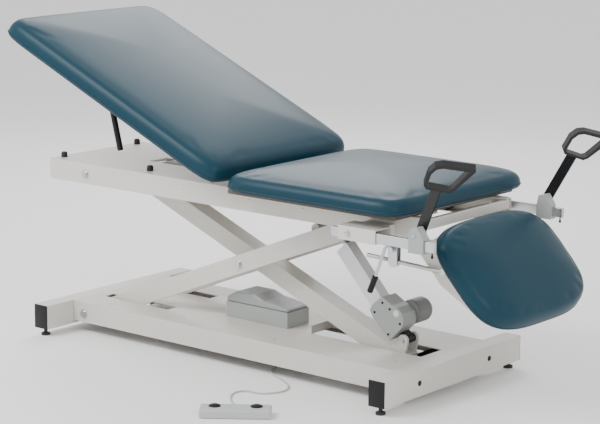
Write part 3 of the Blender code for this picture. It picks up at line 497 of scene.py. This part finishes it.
@dataclass
class Cushion:
    """One upholstered cushion, standing for its CAD pad.

    Args:
        node: The CAD pad it replaces.
        body: The body it rides on.
        size: Length, width and thickness, in metres.
        degrees: How far the pad's +X dips.
        corner: Exponent of the plan outline: small is squarer.
        crown: How much the middle stands above the edge.
        rise: How far the cushion's middle stands off the CAD pad's.
        voxel: Size of the even mesh that the cloth is made of.
        most_movement: The furthest that the stuffing may push the cover.
    """

    node: str
    body: str
    size: tuple[float, float, float]
    degrees: float
    corner: float
    crown: float
    rise: float = 0.0
    voxel: float = 0.006
    most_movement: float = 0.0022

    def build(self, finishes: FinishLibrary) -> None:
        """Builds the cushion with its seam."""
        place = tilt(node_middle(self.node), self.degrees) @ Matrix.Translation(
            (0.0, 0.0, self.rise))
        cushion = self._cover(place)
        cushion.data.materials.append(finishes.get("vinyl"))
        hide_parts(self.node)
        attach(cushion, self.body)
        seam = self._seam(place)
        seam.data.materials.append(finishes.get("seam"))
        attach(seam, self.body)

    def _outline(self, inset: float, count: int = OUTLINE_POINTS) -> list[tuple[float, float]]:
        """Returns the plan outline, moved in by an inset."""
        length, width = self.size[0] / 2 - inset, self.size[1] / 2 - inset
        found = []
        for step in range(count):
            turn = 2 * math.pi * step / count
            c, s = math.cos(turn), math.sin(turn)
            found.append((length * math.copysign(abs(c) ** self.corner, c),
                          width * math.copysign(abs(s) ** self.corner, s)))
        return found

    def _section(self) -> Profile:
        """Returns (inset, height) pairs from the bottom's middle up to the crown."""
        thick = self.size[2]
        half = min(self.size[:2]) / 2
        centre = half * CENTRE_SHARE
        found: Profile = [(centre, 0.0), (half * 0.5, 0.0), (BOTTOM_RADIUS, 0.0)]
        for step in range(1, 5):
            turn = math.radians(90 * step / 4)
            found.append((BOTTOM_RADIUS * (1 - math.sin(turn)),
                          BOTTOM_RADIUS * (1 - math.cos(turn))))
        top = thick - self.crown
        found.append((0.0, SIDE_START))
        for step in range(1, 9):
            turn = math.radians(90 * step / 8)
            found.append((SHOULDER * (1 - math.cos(turn)),
                          SIDE_START + (top - SIDE_START) * math.sin(turn)))
        for step in range(1, 13):
            t = step / 12
            found.append((SHOULDER + (centre - SHOULDER) * t,
                          top + self.crown * (1 - (1 - t) ** 2.0)))
        return found

    def _cover(self, place: Matrix) -> bpy.types.Object:
        """Returns the closed cover, remeshed evenly and, in a full build, inflated."""
        rings = [[(x, y, height - self.size[2] / 2) for x, y in self._outline(inset)]
                 for inset, height in self._section()]
        count = len(rings[0])
        points = [point for ring in rings for point in ring]
        faces = [(r * count + i, r * count + (i + 1) % count, (r + 1) * count + (i + 1) % count,
                  (r + 1) * count + i) for r in range(len(rings) - 1) for i in range(count)]
        faces += [tuple(range(count))[::-1], tuple(range(len(points) - count, len(points)))]
        mesh = bpy.data.meshes.new(self.node + "_cover")
        mesh.from_pydata(points, [], faces)
        cushion = add_object(self.node + "_cover", mesh)
        remesh = cushion.modifiers.new("Even cloth", "REMESH")
        remesh.mode = "VOXEL"
        remesh.voxel_size = self.voxel
        self._apply(cushion)
        self._inflate(cushion)
        smooth = cushion.modifiers.new("Relaxed", "SMOOTH")
        smooth.iterations = RELAX_STEPS
        finer = cushion.modifiers.new("Finer", "SUBSURF")
        finer.levels = finer.render_levels = 1
        self._apply(cushion)
        cushion.data.shade_smooth()
        cushion.matrix_world = place
        bpy.context.view_layer.update()
        return cushion

    @staticmethod
    def _apply(cushion: bpy.types.Object) -> None:
        """Bakes the cushion's modifiers into its mesh."""
        bpy.context.view_layer.update()
        graph = bpy.context.evaluated_depsgraph_get()
        mesh = bpy.data.meshes.new_from_object(cushion.evaluated_get(graph))
        cushion.modifiers.clear()
        cushion.data = mesh

    def _inflate(self, cushion: bpy.types.Object) -> None:
        """Lets the stuffing push the cover out, with its bottom held by the board."""
        before = np.empty(len(cushion.data.vertices) * 3)
        cushion.data.vertices.foreach_get("co", before)
        before = before.reshape(-1, 3)
        held = cushion.vertex_groups.new(name="held")
        edge = HELD_HEIGHT - self.size[2] / 2
        held.add([int(i) for i in np.flatnonzero(before[:, 2] < edge)], 1.0, "REPLACE")
        cloth = cushion.modifiers.new("Inflated", "CLOTH")
        cloth.settings.quality = 4
        cloth.settings.mass = CLOTH_MASS
        cloth.settings.tension_stiffness = CLOTH_STRETCH
        cloth.settings.compression_stiffness = CLOTH_STRETCH
        cloth.settings.shear_stiffness = CLOTH_SHEAR
        cloth.settings.bending_stiffness = CLOTH_BENDING
        cloth.settings.use_pressure = True
        cloth.settings.uniform_pressure_force = CLOTH_PRESSURE
        cloth.settings.effector_weights.gravity = 0
        cloth.settings.vertex_group_mass = "held"
        cloth.collision_settings.use_collision = False
        cloth.point_cache.frame_start = 1
        cloth.point_cache.frame_end = CLOTH_FRAMES
        scene = bpy.context.scene
        for frame in range(1, CLOTH_FRAMES + 1):
            scene.frame_set(frame)
        self._apply(cushion)
        scene.frame_set(1)
        after = np.empty(before.size)
        cushion.data.vertices.foreach_get("co", after)
        move = after.reshape(-1, 3) - before
        length = np.linalg.norm(move, axis=1, keepdims=True)
        move *= np.minimum(1.0, self.most_movement / np.maximum(length, 1e-9))
        move *= np.array(PUSH_SHARE)
        cushion.data.vertices.foreach_set("co", (before + move).ravel())
        LOG.info("%s wanted to move %.1f mm at most", self.node, 1000 * length.max())

    def _seam(self, place: Matrix) -> bpy.types.Object:
        """Returns the stitched seam round the cushion's side."""
        height = SEAM_HEIGHT - self.size[2] / 2
        ring = [place @ Vector((x, y, height))
                for x, y in self._outline(SEAM_INSET, SEAM_POINTS)]
        return tube(self.node + "_seam", ring, SEAM_RADIUS, closed=True)


@dataclass(frozen=True)
class FloorCord:
    """The foot switch's cord, lying on the floor, measured from the middle of the base."""

    radius: float = 0.0025
    route: tuple[tuple[float, float, float], ...] = (
        (0.0900, -0.0300, 0.0934), (0.0900, -0.0300, 0.0780), (0.0905, -0.0315, 0.0500),
        (0.0920, -0.0380, 0.0220), (0.0970, -0.0560, 0.0060), (0.1080, -0.0820, 0.0030),
        (0.1290, -0.1160, 0.0030), (0.1460, -0.1500, 0.0030), (0.1580, -0.1860, 0.0030),
        (0.1907, -0.2180, 0.0030), (0.2600, -0.2520, 0.0030), (0.3109, -0.2900, 0.0030),
        (0.3290, -0.3330, 0.0030), (0.3160, -0.3760, 0.0030), (0.2900, -0.4010, 0.0030),
        (0.2600, -0.4040, 0.0030), (0.2370, -0.4130, 0.0030), (0.2300, -0.4400, 0.0030),
        (0.2440, -0.4760, 0.0030), (0.2780, -0.5130, 0.0030), (0.3160, -0.5400, 0.0030),
        (0.34688, -0.56984, 0.0085), (0.35761, -0.58392, 0.0100),
    )

    def build(self, origin: Vector, finishes: FinishLibrary) -> None:
        points = [spot + origin for spot in smooth_line(list(self.route), CORD_SPACING)]
        cord = tube("floor_cord", points, self.radius)
        cord.data.materials.append(finishes.get("switch_grey"))
        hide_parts("foot_switch_cord")
        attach(cord, "base")


@dataclass
class Trim:
    """Small pieces fixed to one body."""

    body: str
    finishes: FinishLibrary

    def add(self, piece: bpy.types.Object, finish: str) -> None:
        """Finishes a piece and fixes it to the body."""
        piece.data.materials.append(self.finishes.get(finish))
        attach(piece, self.body)

    def screw(self, name: str, place: Matrix, radius: float, height: float,
              finish: str = "zinc") -> None:
        """Adds a domed screw head that stands on its frame's XY plane."""
        profile = [(0.0, -SINK), (radius, -SINK), (radius, height * 0.4),
                   (radius * 0.86, height * 0.8), (radius * 0.5, height), (0.0, height)]
        self.add(lathe(name, profile, place, SCREW_FACETS), finish)


class BaseTrim(Trim):
    """Black end caps, plugs and screws on the base."""

    def build(self) -> None:
        """Adds every piece of base trim."""
        for end in ("head", "foot"):
            low, high = (Vector(corner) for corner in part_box("base_beam_" + end))
            middle = (low + high) / 2
            for side, y, sign in (("near", low.y, -1), ("far", high.y, 1)):
                place = Matrix.Translation((middle.x, y + sign * CAP_OFFSET, middle.z))
                size = Vector((high.x - low.x, CAP_DEPTH, high.z - low.z))
                self.add(soft_block(f"beam_cap_{end}_{side}", size, place, EDGE_RADIUS),
                         "black_plastic")
        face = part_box("base_beam_foot")[1][0]
        origin = base_middle()
        for index, y in enumerate((-0.18, 0.18)):
            place = Matrix.Translation((face, origin.y + y, 0.065)) @ along("+X")
            self.screw(f"beam_plug_{index}", place, 0.0085, 0.0025, "black_plastic")
        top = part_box("base_beam_head")[1][2]
        for index, (x, y) in enumerate(((-0.52, -0.19), (-0.22, -0.17), (0.17, -0.19),
                                        (0.60, -0.15), (-0.52, 0.19), (0.17, 0.19))):
            place = Matrix.Translation((origin.x + x, origin.y + y, top))
            self.screw(f"deck_screw_{index}", place, 0.0045, 0.0022)


class FrameTrim(Trim):
    """Rubber bumpers and screws on the upper frame."""

    def build(self) -> None:
        """Adds every piece of upper trim."""
        low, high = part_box("top_frame")
        origin = base_middle()
        plate_top = node_middle("foot_cross_bar").z + PLATE_ABOVE_BAR
        profile = [(0.0, -SINK), (0.0105, -SINK), (0.0105, 0.010), (0.0095, 0.015),
                   (0.0065, 0.0178), (0.0, 0.018)]
        for index, x in enumerate((-0.745, -0.360)):
            for side, y in (("near", -0.173), ("far", 0.173)):
                place = Matrix.Translation((origin.x + x, origin.y + y, plate_top))
                self.add(lathe(f"bumper_{index}_{side}", profile, place), "rubber")
        for index, x in enumerate((-0.18, 0.09, 0.30)):
            place = Matrix.Translation((origin.x + x, low[1], plate_top - 0.030)) @ along("-Y")
            self.screw(f"rail_screw_{index}", place, 0.0035, 0.0018)
        for side in ("near", "far"):
            node = "stirrup_socket_" + side
            box_low, box_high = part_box(node)
            y, facing = outer_face(node, side)
            spot = Matrix.Translation((box_low[0] + 0.035, y, (box_low[2] + box_high[2]) / 2))
            self.screw(f"socket_bolt_{side}", spot @ along(facing), 0.008, 0.007)
        LOG.info("upper frame spans %.3f to %.3f m", low[0], high[0])


class ActuatorTrim(Trim):
    """Cap and screws on the drive's gear housing."""

    def build(self) -> None:
        """Adds every piece of drive trim."""
        pin = node_middle("actuator_pin")
        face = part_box("actuator_gearbox")[0][1]
        frame = tilt(Vector((pin.x, 0.0, pin.z)), DRIVE_LEAN)
        for index, (u, v, radius, finish) in enumerate((
                (0.071, 0.045, 0.011, "column_white"), (0.040, 0.036, 0.004, "black_plastic"),
                (0.040, -0.022, 0.004, "black_plastic"), (0.095, 0.034, 0.004, "black_plastic"),
                (0.120, -0.020, 0.004, "black_plastic"), (0.125, 0.024, 0.004, "black_plastic"))):
            spot = frame @ Vector((-u, 0.0, v))
            place = Matrix.Translation((spot.x, face, spot.z)) @ along("-Y")
            self.screw(f"drive_screw_{index}", place, radius, 0.0022, finish)


class StirrupTrim(Trim):
    """The stop pin under a stirrup bar's end and the bolt on its clamp."""

    def build(self, side: str) -> None:
        """Adds the pin and the bolt of one side."""
        low, high = (Vector(corner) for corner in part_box("stirrup_bar_" + side))
        pin = [(0.0, -SINK), (0.0022, -SINK), (0.0022, 0.009), (0.0036, 0.010),
               (0.0036, 0.015), (0.0026, 0.0165), (0.0, 0.0168)]
        place = Matrix.Translation((high.x - 0.010, (low.y + high.y) / 2, low.z))
        down = Matrix.Rotation(math.pi, 4, "X")
        self.add(lathe(f"bar_pin_{side}", pin, place @ down, SCREW_FACETS), "black_plastic")
        node = "stirrup_bracket_" + side
        box_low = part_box(node)[0]
        y, facing = outer_face(node, side)
        spot = Matrix.Translation((box_low[0] + 0.018, y, box_low[2] + 0.050))
        self.screw(f"clamp_bolt_{side}", spot @ along(facing), 0.0055, 0.003)


class ExamTable:
    """The whole table: frame finishes, cushions, cord and trim."""

    def __init__(self, frame: dict) -> None:
        self.frame = frame
        self.finishes = FinishLibrary()

    def build(self) -> None:
        """Builds every visible piece."""
        origin = base_middle()
        CameraRig().build(origin)
        FloorCord().build(origin, self.finishes)
        Studio().build()
        self._finish_frame()
        for cushion in (
            Cushion("seat_pad", "top", (0.664, 0.690, 0.087), 0.0, 0.20, 0.036, 0.007),
            Cushion("backrest_pad", "backrest", (0.982, 0.690, 0.087), 23.6, 0.13, 0.026, 0.0110),
            Cushion("leg_rest_pad", "leg_rest", (0.360, 0.547, 0.078), 47.46, 0.576, 0.022, 0.003),
        ):
            cushion.build(self.finishes)
        BaseTrim("base", self.finishes).build()
        FrameTrim("top", self.finishes).build()
        ActuatorTrim("actuator", self.finishes).build()
        for side in ("near", "far"):
            StirrupTrim("stirrup_slide_" + side, self.finishes).build(side)

    def _finish_frame(self) -> None:
        """Gives each CAD node the finish that its record names."""
        for part in self.frame["record"]["subparts"]:
            node = self.frame["nodes"][part["node"]]
            node.data.materials.clear()
            node.data.materials.append(self.finishes.get(part["material_slot"]))


def main() -> None:
    """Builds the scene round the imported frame."""
    logging.basicConfig(level=logging.INFO, format="%(name)s: %(message)s")
    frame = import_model()
    ExamTable(frame).build()


if __name__ == "__main__":
    main()
